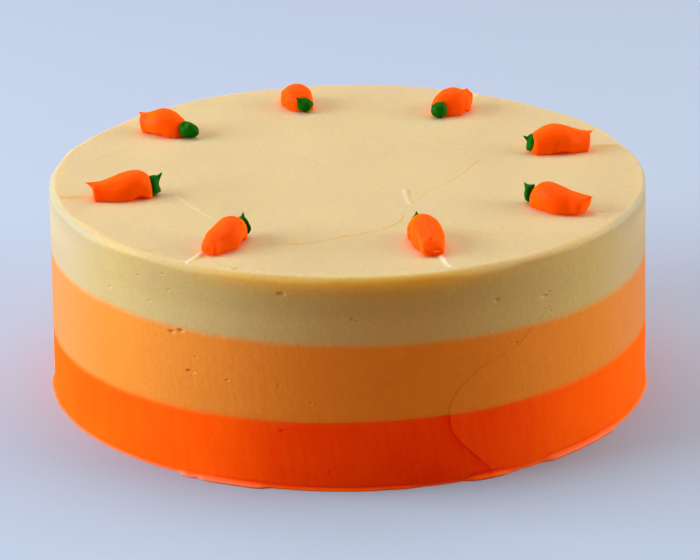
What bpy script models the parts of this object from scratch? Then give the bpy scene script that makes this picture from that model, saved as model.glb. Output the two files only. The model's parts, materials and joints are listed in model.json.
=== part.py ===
"""A whole carrot cake: three stacked bands of cake and icing, with eight piped carrots on top.

Metres, +Z up. The origin is the centre of the underside, and -Y is the cake's front.
"""

import math
from collections import namedtuple

import bmesh
import bpy
from mathutils import Matrix, Vector

MM = 0.001

# The iced cake.
TOP_RADIUS = 106.5 * MM
BASE_RADIUS = 107.5 * MM
HEIGHT = 76 * MM
RIM_RADIUS = 2.5 * MM  # rounding of the top edge
RIM_STEPS = 4
LIP_REACH = 1.3 * MM  # icing squeezed out round the foot
LIP_HEIGHT = 1.6 * MM
GAP = 0.3 * MM  # left between pieces that touch
SIDES = 96

# The seams between the bands: each one's height at the centre, and its rise per metre towards +X.
LOWER_SEAM, LOWER_SLOPE = 24.5 * MM, 0.014
UPPER_SEAM, UPPER_SLOPE = 52 * MM, -0.015

# What all the carrots share.
START_HEIGHT = 0.65  # height at the green end, over the full height
START_WIDTH = 0.64  # width at the green end, over the full width
WIDEST = 0.5  # where the rope is widest, over its length
ROUNDED = 0.16  # rounded stretch at the green end, over the length
END_OPENING = 0.45  # size of the flat green end, over the section behind it
FOOT_CURVE = 0.75  # below 1 flattens the underside
FOLD_DEPTH = 1.7 * MM  # pinch where the rope laps over its first squeeze
FOLD_LENGTH = 2.0 * MM
BODY_RINGS = 12
TAIL_RINGS = 4
AROUND = 14
TUFT_AROUND = 14
TUFT_RINGS = 9
PEAK_SPREAD = 0.27  # radians over which a pulled peak falls away

# One carrot: bearing round the cake, heading off the radial line and fold side follow the
# right-hand rule about +Z. Angles are in degrees, sizes in millimetres, the rest are fractions.
Root = namedtuple(
    "Root",
    "bearing reach heading length width height crest end_height end_width"
    " tail tip tip_side sway fold_side fold_at",
)
ROOTS = (
    Root(196.1, 82.6, -6.6, 21.5, 11.6, 9.8, 0.28, 0.64, 0.65, 2.4, 0.72, 0.0, 0.5, 1, 0.25),
    Root(144.3, 83.8, 8.2, 18.0, 10.9, 9.5, 0.48, 0.74, 0.62, 2.4, 0.68, 0.0, 0.2, 1, 0.37),
    Root(102.9, 82.2, 5.1, 16.4, 11.5, 9.2, 0.40, 0.62, 0.68, 1.4, 0.55, 0.6, 1.2, 1, 0.36),
    Root(61.7, 81.9, -1.2, 17.2, 12.4, 9.6, 0.40, 0.72, 0.70, 1.6, 0.76, -3.2, -2.4, -1, 0.45),
    Root(17.4, 80.5, -5.4, 21.8, 11.6, 10.2, 0.42, 0.68, 0.68, 2.6, 0.63, 0.0, -0.4, -1, 0.45),
    Root(-28.1, 83.2, -3.4, 21.6, 11.2, 9.3, 0.32, 0.76, 0.72, 2.6, 0.70, 0.0, -1.6, 0, 0.0),
    Root(-70.7, 79.4, -8.3, 22.8, 11.8, 9.4, 0.36, 0.62, 0.70, 1.6, 0.45, 0.6, -0.2, -1, 0.33),
    Root(-119.4, 85.0, -2.1, 20.2, 10.9, 9.6, 0.30, 0.62, 0.56, 1.2, 0.56, 0.5, 0.5, 1, 0.24),
)

# One green tuft, in its carrot's own axes: its middle lies back from the green end, to one side and
# up. Half sizes follow, then its pulled peaks as (sweep, climb, pull): degrees, degrees, millimetres.
Tuft = namedtuple("Tuft", "back side lift thick wide tall peaks")
TUFTS = (
    Tuft(0.8, 0.0, 3.6, 1.7, 3.0, 3.2, ((181, 60, 2.8), (20, 60, 0.5))),
    Tuft(1.4, 0.6, 2.8, 3.7, 2.9, 2.7, ((30, 68, 1.0), (140, 48, 0.8))),
    Tuft(0.6, 0.6, 2.9, 2.4, 2.7, 2.5, ((98, 46, 2.4), (206, 50, 0.9))),
    Tuft(0.9, -1.4, 3.0, 2.6, 3.0, 2.9, ((112, 34, 0.8), (-20, 50, 0.8))),
    Tuft(0.5, 0.0, 3.5, 1.4, 2.9, 2.8, ((182, 48, 2.6), (0, 66, 0.8))),
    Tuft(0.8, 0.0, 3.3, 1.5, 2.7, 2.8, ((194, 62, 2.4), (14, 66, 1.8))),
    Tuft(0.8, -0.7, 3.0, 1.6, 2.7, 2.9, ((190, 76, 2.4), (24, 50, 1.0))),
    Tuft(0.9, -0.2, 3.4, 1.1, 3.2, 3.0, ((168, 82, 2.4), (112, -28, 0.8))),
)

# Linear colour, roughness.
CREAM = ((0.82, 0.63, 0.36), 0.5)
PALE_ORANGE = ((0.90, 0.34, 0.08), 0.5)
DEEP_ORANGE = ((0.90, 0.11, 0.01), 0.45)
CARROT_ORANGE = ((0.95, 0.12, 0.01), 0.4)
LEAF_GREEN = ((0.01, 0.16, 0.01), 0.4)


def remove_objects():
    """Empties the scene."""
    for found in list(bpy.data.objects):
        bpy.data.objects.remove(found, do_unlink=True)


def icing(name, look):
    """Makes a Principled material from a colour and a roughness."""
    colour, roughness = look
    material = bpy.data.materials.new(name)
    material.use_nodes = True
    shader = material.node_tree.nodes["Principled BSDF"]
    shader.inputs["Base Color"].default_value = (*colour, 1.0)
    shader.inputs["Roughness"].default_value = roughness
    shader.inputs["Metallic"].default_value = 0.0
    return material


def smooth(amount):
    """Eases a value from 0 to 1."""
    held = min(max(amount, 0.0), 1.0)
    return held * held * (3.0 - 2.0 * held)


def mix(start, end, amount):
    """Blends two numbers."""
    return start + (end - start) * amount


def add_piece(name, bm, look):
    """Turns a bmesh into a smooth-shaded object with its own material."""
    bmesh.ops.recalc_face_normals(bm, faces=bm.faces)
    mesh = bpy.data.meshes.new(name)
    bm.to_mesh(mesh)
    bm.free()
    mesh.shade_smooth()
    mesh.set_sharp_from_angle(angle=math.radians(50))
    mesh.materials.append(icing(name + "_icing", look))
    piece = bpy.data.objects.new(name, mesh)
    bpy.context.scene.collection.objects.link(piece)
    return piece


def side_radius(height):
    """The slightly tapered side's radius."""
    return mix(BASE_RADIUS, TOP_RADIUS, height / HEIGHT)


def seam_slope(height):
    """How much the cake's layers rise towards +X at a height: none at the foot and on top."""
    levels = ((0.0, 0.0), (LOWER_SEAM, LOWER_SLOPE), (UPPER_SEAM, UPPER_SLOPE), (HEIGHT, 0.0))
    for (low, low_slope), (high, high_slope) in zip(levels, levels[1:]):
        if height <= high:
            return mix(low_slope, high_slope, (height - low) / (high - low))
    return 0.0


def add_band(name, outline, look):
    """Turns an outline of (radius, height) points round the axis and tilts its seams."""
    low, high = outline[0][1], outline[-1][1]
    points = [(0.0, low), *outline, (0.0, high)]
    bm = bmesh.new()
    verts = [bm.verts.new((radius, 0.0, height)) for radius, height in points]
    edges = [bm.edges.new(pair) for pair in zip(verts, verts[1:])]
    bmesh.ops.spin(
        bm,
        geom=verts + edges,
        cent=(0, 0, 0),
        axis=(0, 0, 1),
        angle=math.tau,
        steps=SIDES,
        use_merge=True,
    )
    bmesh.ops.remove_doubles(bm, verts=bm.verts, dist=0.01 * MM)
    for vert in bm.verts:
        vert.co.z += vert.co.x * seam_slope(vert.co.z)
    return add_piece(name, bm, look)


def foot_lip():
    """The outline of the icing squeezed out under the side, from the underside up."""
    radius = side_radius(0.0)
    reach = radius + LIP_REACH
    return [
        (radius + 0.6 * LIP_REACH, 0.0),
        (reach, 0.3 * LIP_HEIGHT),
        (reach, 0.6 * LIP_HEIGHT),
        (side_radius(LIP_HEIGHT) + 0.3 * LIP_REACH, LIP_HEIGHT),
        (side_radius(2 * LIP_HEIGHT), 2 * LIP_HEIGHT),
    ]


def rounded_rim():
    """The outline of the top edge, from the side up onto the top."""
    centre_radius = side_radius(HEIGHT - RIM_RADIUS) - RIM_RADIUS
    turns = [math.pi / 2 * step / RIM_STEPS for step in range(RIM_STEPS + 1)]
    return [
        (centre_radius + RIM_RADIUS * math.cos(turn), HEIGHT - RIM_RADIUS + RIM_RADIUS * math.sin(turn))
        for turn in turns
    ]


def add_cake():
    """The three bands, each through the whole cake and a gap above the one below."""
    lower, upper = LOWER_SEAM - GAP / 2, LOWER_SEAM + GAP / 2
    add_band("deep_band", [*foot_lip(), (side_radius(lower), lower)], DEEP_ORANGE)
    top = UPPER_SEAM - GAP / 2
    add_band("pale_band", [(side_radius(upper), upper), (side_radius(top), top)], PALE_ORANGE)
    start = UPPER_SEAM + GAP / 2
    add_band("cream_band", [(side_radius(start), start), *rounded_rim()], CREAM)


def rope_section(root, along):
    """Underside, top and half width of a carrot's rope, with along from 0 to 1."""
    height, width = root.height * MM, root.width * MM
    if along < root.crest:
        top = height * mix(START_HEIGHT, 1.0, math.sin(math.pi / 2 * along / root.crest))
    else:
        top = height * mix(1.0, root.end_height, smooth((along - root.crest) / (1 - root.crest)))
    if along < WIDEST:
        half = width / 2 * mix(START_WIDTH, 1.0, math.sin(math.pi / 2 * along / WIDEST))
    else:
        half = width / 2 * mix(1.0, root.end_width, smooth((along - WIDEST) / (1 - WIDEST)))
    rise = min(along / ROUNDED, 1.0)
    opening = mix(END_OPENING, 1.0, math.sqrt(1.0 - (1.0 - rise) ** 2))
    middle = height * START_HEIGHT / 2
    return middle * (1.0 - opening), mix(middle, top, opening), half * opening


def tail_section(root, along):
    """Underside, top and half width where the rope was pulled off, with along from 0 to 1."""
    end, tip = root.height * root.end_height * MM, root.height * root.tip * MM
    half = root.width * root.end_width * MM / 2 * (1.0 - along) ** 0.75
    return tip * along, mix(end, tip, along), half


def fold(root, along, point):
    """Pinches the rope's low side in where it laps over its first squeeze."""
    offset = (along - root.fold_at) * root.length * MM / FOLD_LENGTH
    low = 1.0 - smooth(point.z / (0.7 * root.height * MM))
    if point.y * root.fold_side > 0:
        point.y -= root.fold_side * FOLD_DEPTH * low * math.exp(-offset * offset)


def ring_points(root, bottom, top, half, start, sway):
    """The points round one section, with a flattened underside."""
    points = []
    for step in range(AROUND):
        turn = math.tau * step / AROUND
        rise = math.sin(turn)
        if rise < 0:
            rise = -((-rise) ** FOOT_CURVE)
        points.append(
            Vector((start, sway + half * math.cos(turn), (top + bottom) / 2 + (top - bottom) / 2 * rise))
        )
    return points


def rope_rings(root):
    """All the sections of a carrot, from its green end to the last one before its tip."""
    rings = []
    length, tail = root.length * MM, root.tail * MM
    for ring in range(BODY_RINGS):
        along = (ring / (BODY_RINGS - 1)) ** 1.2
        sway = 4 * root.sway * MM * along * (1 - along)
        points = ring_points(root, *rope_section(root, along), length * along, sway)
        for point in points:
            fold(root, along, point)
        rings.append(points)
    for ring in range(1, TAIL_RINGS):
        along = ring / TAIL_RINGS
        side = root.tip_side * MM * along
        start = length + tail * along * along
        rings.append(ring_points(root, *tail_section(root, along), start, side))
    return rings


def carrot_frame(root):
    """Places a carrot: the origin is on the top, under the green end, and +X runs to its tail."""
    heading = math.radians(root.bearing + root.heading)
    bearing = math.radians(root.bearing)
    middle = Vector((math.cos(bearing), math.sin(bearing), 0)) * root.reach * MM
    start = middle - Vector((math.cos(heading), math.sin(heading), 0)) * root.length * MM / 2
    return Matrix.Translation((start.x, start.y, HEIGHT + GAP)) @ Matrix.Rotation(heading, 4, "Z")


def add_root(name, root):
    """One carrot's orange rope: a skinned stack of rings, a flat green end and a pulled tail."""
    bm = bmesh.new()
    rings = [[bm.verts.new(point) for point in points] for points in rope_rings(root)]
    for ring, after in zip(rings, rings[1:]):
        for step in range(AROUND):
            beside = (step + 1) % AROUND
            bm.faces.new((ring[step], ring[beside], after[beside], after[step]))
    bm.faces.new(rings[0])
    tip = bm.verts.new(
        (
            (root.length + root.tail) * MM,
            root.tip_side * MM,
            root.height * root.tip * MM,
        )
    )
    for step in range(AROUND):
        bm.faces.new((rings[-1][step], rings[-1][(step + 1) % AROUND], tip))
    piece = add_piece(name, bm, CARROT_ORANGE)
    piece.matrix_world = carrot_frame(root)
    return piece


def direction(sweep, climb):
    """The unit vector that a sweep round +Z and a climb above the flat give, in degrees."""
    turn, rise = math.radians(sweep), math.radians(climb)
    return Vector((math.cos(rise) * math.cos(turn), math.cos(rise) * math.sin(turn), math.sin(rise)))


def tuft_point(tuft, ray):
    """Where a tuft's surface lies along a ray from its middle."""
    scaled = Vector((ray.x / tuft.thick, ray.y / tuft.wide, ray.z / tuft.tall))
    reach = 1.0 / scaled.length
    for sweep, climb, pull in tuft.peaks:
        reach += pull * math.exp(-ray.angle(direction(sweep, climb)) / PEAK_SPREAD)
    return ray * reach * MM


def add_tuft(name, tuft, root):
    """One carrot's green tuft: a dab with pulled peaks, flat against the carrot and the top."""
    bm = bmesh.new()
    bmesh.ops.create_uvsphere(bm, u_segments=TUFT_AROUND, v_segments=TUFT_RINGS, radius=1.0)
    main_peak = direction(*tuft.peaks[0][:2])
    turn = Vector((0, 0, 1)).rotation_difference(main_peak).to_matrix()
    middle = Vector((-tuft.back, tuft.side, tuft.lift)) * MM
    for vert in bm.verts:
        point = middle + tuft_point(tuft, (turn @ vert.co).normalized())
        vert.co = (min(point.x, -GAP), point.y, max(point.z, 0.0))
    bmesh.ops.remove_doubles(bm, verts=bm.verts, dist=0.01 * MM)
    piece = add_piece(name, bm, LEAF_GREEN)
    piece.matrix_world = carrot_frame(root)
    return piece


def main():
    remove_objects()
    add_cake()
    for number, (root, tuft) in enumerate(zip(ROOTS, TUFTS), start=1):
        add_root(f"carrot_root_{number}", root)
        add_tuft(f"carrot_tuft_{number}", tuft, root)


main()
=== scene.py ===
"""The looks of a whole carrot cake: three bands of smoothed buttercream and eight piped carrots.

Metres, +Z up, -Y at the front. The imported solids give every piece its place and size.
"""

import json
import math
from collections import namedtuple

import bmesh
import bpy
import numpy as np
from mathutils import Matrix, Vector
from mathutils.kdtree import KDTree

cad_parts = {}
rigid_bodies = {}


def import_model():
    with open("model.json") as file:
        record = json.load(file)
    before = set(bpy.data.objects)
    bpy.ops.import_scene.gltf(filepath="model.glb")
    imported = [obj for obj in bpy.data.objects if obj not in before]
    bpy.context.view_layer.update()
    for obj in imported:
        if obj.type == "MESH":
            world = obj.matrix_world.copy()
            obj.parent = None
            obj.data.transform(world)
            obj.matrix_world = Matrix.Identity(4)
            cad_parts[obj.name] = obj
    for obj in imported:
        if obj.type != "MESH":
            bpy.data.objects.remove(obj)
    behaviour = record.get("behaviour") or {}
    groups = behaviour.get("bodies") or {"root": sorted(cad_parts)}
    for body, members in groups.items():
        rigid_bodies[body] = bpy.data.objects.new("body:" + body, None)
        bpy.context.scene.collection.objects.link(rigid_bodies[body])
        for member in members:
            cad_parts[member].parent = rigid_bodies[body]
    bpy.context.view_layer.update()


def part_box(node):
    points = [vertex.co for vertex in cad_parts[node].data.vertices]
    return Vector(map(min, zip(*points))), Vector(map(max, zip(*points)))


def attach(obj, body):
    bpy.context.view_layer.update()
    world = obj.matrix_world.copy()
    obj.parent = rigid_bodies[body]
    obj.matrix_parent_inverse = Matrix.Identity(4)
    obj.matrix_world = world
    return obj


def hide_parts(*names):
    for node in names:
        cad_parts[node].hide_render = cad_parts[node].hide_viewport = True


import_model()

MM = 0.001

# The cake's sizes, from the frame.
DEEP_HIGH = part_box("deep_band")[1]
PALE_LOW, PALE_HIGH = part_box("pale_band")
CREAM_LOW, CREAM_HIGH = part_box("cream_band")
TOP = CREAM_HIGH.z
LOWER_SEAM = (DEEP_HIGH.z + PALE_LOW.z) / 2
UPPER_SEAM = (PALE_HIGH.z + CREAM_LOW.z) / 2
LOWER_RADIUS, UPPER_RADIUS = PALE_HIGH.x, CREAM_HIGH.x
LOWER_SLOPE = (DEEP_HIGH.z - PALE_LOW.z) / (2 * LOWER_RADIUS)  # rise towards +X
UPPER_SLOPE = -(PALE_HIGH.z - CREAM_LOW.z) / (2 * UPPER_RADIUS)
TAPER = (UPPER_RADIUS - LOWER_RADIUS) / (UPPER_SEAM - LOWER_SEAM)
LIP_REACH = DEEP_HIGH.x - LOWER_RADIUS + LOWER_SEAM * TAPER
RIM = 2.5 * MM  # rounding of the top edge

# The meshes.
SIDES = 600  # points round the cake
STEP = 1.15 * MM  # between rings
DECK_STEP = 1.5 * MM  # between rings on the flat top
FINE_STEP = 0.35 * MM  # between rings round the rim
FOOT_STEP, FOOT_TOP = 0.25 * MM, 3.5 * MM  # between rings at the foot, up to that height
SHARP_EDGE = math.radians(60)
CAP_DIP = 0.3 * MM  # how far the hidden seam faces hollow away from each other


def smooth(amount):
    """Eases from 0 to 1."""
    held = np.clip(amount, 0.0, 1.0)
    return held * held * (3.0 - 2.0 * held)


def mix(start, end, amount):
    """Blends two values."""
    return start + (end - start) * amount


def bell(offset):
    """1 at no offset, falling off softly on both sides."""
    return np.exp(-(offset**2))


def bearings(points):
    """Each point's bearing round the cake, in degrees."""
    return np.degrees(np.arctan2(points[:, 1], points[:, 0]))


WAVES = 18


def ripple(points, size, seed):
    """Soft unevenness of about -1 to 1 with features of that size, from random waves added up."""
    draw = np.random.default_rng(seed)
    total = np.zeros(len(points))
    for _ in range(WAVES):
        heading = draw.normal(size=3)
        heading *= draw.uniform(0.6, 1.5) * math.pi / size / np.linalg.norm(heading)
        total += np.sin(points @ heading + draw.uniform(0, math.tau))
    return total / math.sqrt(WAVES)


def side_radius(height):
    """The tapered side's radius."""
    return LOWER_RADIUS + TAPER * (height - LOWER_SEAM)


RIM_CENTRE = side_radius(TOP - RIM) - RIM  # radius where the flat top ends

# Marks that the palette knife left. On the top a point is (x, y), on the side it is
# (bearing, height), in millimetres and degrees. ridge is the height of the line itself, tint is how
# much painted shade deepens the line's colour, or painted highlight pales it where tint is below 0, and
# step is how far the icing on its left stands up, fading over fade.
Stroke = namedtuple("Stroke", "points ridge width tint step fade where", defaults=(0.0, 1.0, "top"))
STROKES = (
    # The long lap line across the front half of the top.
    Stroke(((-36, -71), (-24, -72.5), (-11, -71.5), (-1, -65.5), (8, -61), (17, -53), (20, -40)),
           -0.12, 0.50, 1.0, 0.08, 6.0),
    # Its other half, from the pinch behind the front carrot off to the back right.
    Stroke(((21, -34), (23, -31.5), (27, -23), (34, -13.5), (41, -2), (46, 10), (50, 19)),
           -0.11, 0.44, 0.8, -0.08, 6.0),
    # The pinch where the knife was lifted.
    Stroke(((19.5, -16), (20.5, -26), (22, -35)), 0.20, 0.8, -0.45),
    Stroke(((21.5, -17), (22.0, -26), (23, -33)), -0.20, 0.5, 0.6),
    # Fainter ones.
    Stroke(((33, -59), (45, -63), (54, -65), (62, -64)), -0.10, 0.4, 0.5, 0.06, 5.0),
    Stroke(((-93, 15), (-88, 22.5), (-83, 27.5), (-76, 31)), -0.10, 0.6, 0.3, 0.08, 6.0),
    Stroke(((-62, -21), (-55, -33), (-46, -48)), 0.10, 0.6, -0.5),
    # Drawn from the carrots' tails to the rim.
    Stroke(((-49, -80), (-51.5, -85), (-54.5, -91)), 0.25, 0.60, -1.0),
    Stroke(((-47.8, -80.5), (-49.6, -85), (-51.2, -88)), -0.15, 0.8, 0.8),
    Stroke(((29.5, -82), (31.5, -90), (34.5, -99)), 0.50, 0.85, -1.0),
    Stroke(((-91, -21.5), (-96, -22.5), (-102, -23.5)), -0.10, 1.3, 1.0),
    Stroke(((89, 28.5), (96, 29.5), (104, 30.5)), -0.16, 0.8, 1.0),
    Stroke(((89, 30), (96, 31), (103, 32)), 0.20, 0.6, -0.6),
    Stroke(((84, -45.5), (88, -46), (95, -46)), 0.14, 0.8, -0.4),
    Stroke(((46, 83), (48.5, 88), (51, 95)), 0.30, 0.8, -0.5),
    # Where the last turn of the scraper lapped over the first.
    Stroke(((-42.9, 69.3), (-45.1, 65.1), (-47.5, 61.2), (-50.8, 55.9), (-53.8, 51.6)),
           -0.01, 0.3, 0.10, 0.12, 7.0, "side"),
    Stroke(((-53.8, 51.6), (-56.2, 47.9), (-58.6, 45.3), (-62.2, 42.4), (-65.8, 39.6), (-67.7, 37),
            (-69.3, 34.6), (-70.8, 31.4), (-71.8, 27.5), (-71.8, 23.3), (-71.5, 19), (-69.9, 14.4),
            (-67.3, 9.3), (-65.3, 5.6), (-63.5, 2.4)),
           -0.05, 0.3, 0.35, 0.16, 7.0, "side"),
)
SCRAPER_LAP = [point for stroke in STROKES if stroke.where == "side" for point in stroke.points]


def on_side(bearing, height):
    """The point on the side at a bearing in degrees and a height."""
    turn, radius = math.radians(bearing), side_radius(height)
    return Vector((radius * math.cos(turn), radius * math.sin(turn), height))


HAND_WAVER = 0.2 * MM
LINE_STEP = 0.5 * MM


def smooth_line(before, start, end, after, share):
    """The point at a share of the way from start to end, on a smooth line through all four."""
    return 0.5 * (
        2 * start
        + (end - before) * share
        + (2 * before - 5 * start + 4 * end - after) * share**2
        + (3 * start - before - 3 * end + after) * share**3
    )


def stroke_line(stroke):
    """A smooth line of points through a stroke's own, half a millimetre apart, as a hand wavers."""
    if stroke.where == "top":
        knots = [np.array((x * MM, y * MM, TOP)) for x, y in stroke.points]
    else:
        knots = [np.array(on_side(bearing, height * MM)) for bearing, height in stroke.points]
    knots = [2 * knots[0] - knots[1], *knots, 2 * knots[-1] - knots[-2]]
    line = []
    for before, start, end, after in zip(knots, knots[1:], knots[2:], knots[3:]):
        count = max(2, round(np.linalg.norm(end - start) / LINE_STEP))
        line += [smooth_line(before, start, end, after, share) for share in np.arange(count) / count]
    line.append(knots[-2])
    line = np.array(line)
    waver = [ripple(line, 5 * MM, seed) for seed in (31, 32, 33 if stroke.where == "side" else 31)]
    waver[2] = waver[2] * (stroke.where == "side")
    return line + HAND_WAVER * np.stack(waver, 1)


# Air pits: on the side (bearing, height, width, depth), on the top (x, y, width, depth).
SIDE_PITS = (
    (-124.1, 50.7, 2.4, 0.7), (-122.1, 51.8, 2.2, 0.8), (-120.4, 37.9, 2.2, 0.7), (-119.6, 37.6, 1.6, 0.6),
    (-119.0, 43.4, 1.0, 0.4), (-112.6, 37.1, 1.3, 0.5), (-102.9, 36.9, 1.0, 0.4), (-102.2, 69.8, 2.6, 0.8),
    (-89.4, 61.5, 1.8, 0.5), (-88.6, 60.8, 1.5, 0.4), (-62.4, 63.2, 2.0, 0.6), (-51.8, 60.4, 2.4, 0.6),
    (-50.8, 61.5, 1.4, 0.4), (-48.3, 68.4, 1.6, 0.4), (-50.3, 54.3, 1.2, 0.4), (-58.4, 46.3, 1.2, 0.5),
    (-102.4, 20.8, 1.8, 0.4), (-101.6, 21.2, 1.2, 0.3), (-93.7, 6.7, 1.4, 0.4), (-140.1, 59.4, 1.5, 0.4),
    (-131.9, 67.8, 1.2, 0.4), (-129.3, 59.6, 1.2, 0.4), (-126.0, 70.6, 1.3, 0.4), (-120.5, 69.0, 1.2, 0.4),
    (-118.6, 72.1, 1.2, 0.4), (-124.7, 65.4, 1.3, 0.4), (-122.3, 64.8, 1.3, 0.3), (-114.7, 69.0, 1.0, 0.4),
    (-97.0, 31.5, 1.2, 0.3), (-96.0, 31.2, 1.0, 0.3),
)
TOP_PITS = (
    (-31.6, 27.6, 1.5, 0.4), (-15.1, 16.8, 1.5, 0.5), (-11.5, 15.6, 1.3, 0.5), (12.1, 18.2, 1.3, 0.4),
    (18.1, 28.3, 1.4, 0.4), (14.7, 23.8, 1.2, 0.4), (20.7, 12.3, 1.0, 0.3), (16.9, 3.5, 1.0, 0.3),
    (-43.0, -92.9, 1.4, 0.4), (-41.0, -94.6, 1.3, 0.4), (-39.6, -93.2, 1.2, 0.4), (-38.6, -95.6, 1.5, 0.5),
    (-36.0, -94.2, 1.2, 0.4), (42.6, -94.9, 1.3, 0.4), (43.8, -93.4, 1.1, 0.3), (-18.8, -13.0, 1.0, 0.3),
    (0.4, -10.3, 1.2, 0.3), (-9.2, -6.8, 1.3, 0.3), (-6.3, -44.1, 1.2, 0.3), (-2.9, -59.5, 1.3, 0.3),
    (-67.0, -77.5, 1.8, 0.6), (-37.5, -95.7, 2.2, 0.6), (-28.1, -97.0, 1.6, 0.4), (-13.5, -100.2, 1.5, 0.4),
    (77.6, -69.0, 2.0, 0.5), (45.0, -95.3, 1.5, 0.4), (101.3, 3.0, 1.6, 0.5), (100.5, -15.7, 1.1, 0.4),
    (-36.7, 75.4, 1.0, 0.3), (-28.8, 56.9, 0.9, 0.3),
)
# Stray pits: how many, their widths in millimetres, their depths over their widths, and where.
STRAY_SIDE_PITS, STRAY_TOP_PITS, RIM_PITS = 170, 150, 104
SIDE_PIT_WIDTHS, TOP_PIT_WIDTHS, RIM_PIT_WIDTHS = (0.4, 0.9), (0.5, 1.1), (0.5, 1.4)
SIDE_PIT_SINK, TOP_PIT_SINK, RIM_PIT_SINK = 0.4, 0.35, 0.3
SIDE_PIT_HEIGHTS = (0.06, 0.96)  # shares of the cake's height
RIM_PIT_BELT = 3.5
SIDE_SUNK, TOP_SUNK = 0.85, 0.5  # how much of its depth a pit keeps
PIT_PAINTED_SHADE = 0.36  # painted shade in a pit a millimetre wide
SIDE_FLATNESS, TOP_FLATNESS = 0.42, 0.8  # a pit's height over its width: the scraper drags them wide


def pits():
    """All the pits, as rows of a middle on the nominal surface, a width and a depth."""
    draw = np.random.default_rng(11)
    rows = [
        (*on_side(bearing, height * MM), width * MM, depth * MM)
        for bearing, height, width, depth in SIDE_PITS
    ]
    rows += [(x * MM, y * MM, TOP, width * MM, depth * MM) for x, y, width, depth in TOP_PITS]
    for _ in range(STRAY_SIDE_PITS):
        place = on_side(draw.uniform(-180, 180), draw.uniform(*SIDE_PIT_HEIGHTS) * TOP)
        width = draw.uniform(*SIDE_PIT_WIDTHS) * MM
        rows.append((*place, width, SIDE_PIT_SINK * width))
    for number in range(STRAY_TOP_PITS + RIM_PITS):
        turn = draw.uniform(0, math.tau)
        if number < STRAY_TOP_PITS:
            reach = RIM_CENTRE * draw.uniform(0, 1) ** 0.7
            widths, sink = TOP_PIT_WIDTHS, TOP_PIT_SINK
        else:
            reach = RIM_CENTRE - draw.uniform(0, RIM_PIT_BELT) * MM
            widths, sink = RIM_PIT_WIDTHS, RIM_PIT_SINK
        width = draw.uniform(*widths) * MM
        rows.append((reach * math.cos(turn), reach * math.sin(turn), TOP, width, sink * width))
    return np.array(rows)


PITS = pits()
LINES = [stroke_line(stroke) for stroke in STROKES]
SEAM_WAVER = 0.12 * MM


def layer_height(points):
    """Nominal heights, tilted and wavering as the layers do: not at all at the foot and on top."""
    x, height = points[:, 0], points[:, 2]
    lower = x * LOWER_SLOPE + SEAM_WAVER * ripple(points * (1, 1, 0), 16 * MM, 5)
    upper = x * UPPER_SLOPE + SEAM_WAVER * ripple(points * (1, 1, 0), 20 * MM, 6)
    below = mix(0.0, lower, np.clip(height / LOWER_SEAM, 0, 1))
    between = mix(lower, upper, (height - LOWER_SEAM) / (UPPER_SEAM - LOWER_SEAM))
    above = mix(upper, 0.0, np.clip((height - UPPER_SEAM) / (TOP - RIM - UPPER_SEAM), 0, 1))
    tilt = np.where(height < LOWER_SEAM, below, np.where(height < UPPER_SEAM, between, above))
    return height + tilt


def outward(points):
    """The way out of the icing: level at the side, up on top, turning round the rim between."""
    radius = np.hypot(points[:, 0], points[:, 1])
    across = np.clip((radius - RIM_CENTRE) / RIM, 0, None)
    up = np.clip((points[:, 2] - TOP + RIM) / RIM, 0, None)
    length = np.maximum(np.hypot(across, up), 1e-9)
    spoke = across / length / np.maximum(radius, 1e-9)
    return np.stack([points[:, 0] * spoke, points[:, 1] * spoke, up / length], 1)


# Where the icing squeezed out at the foot reaches furthest: bearing and half width in degrees,
# reach over the lip's own, and height in millimetres.
FOOT_BLOBS = (
    (-160, 24, 0.5, 0.7), (-120.5, 1.7, 2.1, 0.9), (-114.2, 4.2, 2.0, 1.0), (-106.5, 4.0, 2.0, 1.0),
    (-92, 13.5, 0.7, 0.8), (-64.5, 3.6, 1.5, 1.2), (-41.5, 10, 1.2, 1.3), (-13, 7, 0.7, 1.0),
    (18, 12, 0.6, 1.0), (47, 5, 1.5, 1.1), (66, 9, 1.1, 1.2), (93, 4, 1.7, 1.1), (112, 11, 0.9, 1.2),
    (139, 6, 1.3, 1.1), (161, 8, 0.9, 1.2),
)
LIP_REST = (0.25, 0.65)  # reach and height between the blobs
BLOB_EDGE = 3.0  # degrees over which a blob eases off
LIP_FULL = 0.45  # share of its height up to which the lip is full
LIP_PAINTED_HIGHLIGHT, LIP_PAINTED_SHADE = 0.62, 0.45  # painted highlight on its thin edge, painted shade in the crease above


def lip(points):
    """How far the icing squeezed out at the foot stands proud, with painted highlight on its thin edge and
    painted shade in the crease above it.
    """
    level = points * (1, 1, 0)
    bearing = bearings(points)
    reach = LIP_REST[0] + 0.20 * ripple(level, 14 * MM, 21)
    tall = LIP_REST[1] + 0.15 * ripple(level, 25 * MM, 23)
    for middle, half, out, height in FOOT_BLOBS:
        apart = np.abs((bearing - middle + 180) % 360 - 180) / half
        share = smooth((1.0 - apart) * max(half, BLOB_EDGE) / BLOB_EDGE + 0.5)
        reach = mix(reach, out, share)
        tall = mix(tall, height, share)
    reach = reach + 0.12 * ripple(level, 4 * MM, 22)
    share = points[:, 2] / (tall * MM)
    tuck = np.sqrt(np.clip(1 - (np.clip(LIP_FULL - share, 0, None) / LIP_FULL * 0.6) ** 2, 0, 1))
    fall = bell(np.clip(share - LIP_FULL, 0, None) / 0.42)
    fillet = 0.10 * bell(share / 2.0)
    reach = np.clip(reach, 0.1, None)
    thin = smooth((1.15 - share) / 0.3)
    crease = bell((share - 1.6) / 0.5)
    painted_lip_light = LIP_PAINTED_SHADE * crease - LIP_PAINTED_HIGHLIGHT * thin
    return LIP_REACH * (reach * tuck * fall + fillet), painted_lip_light * np.clip(0.25 + reach / 2, 0, 1)


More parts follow.
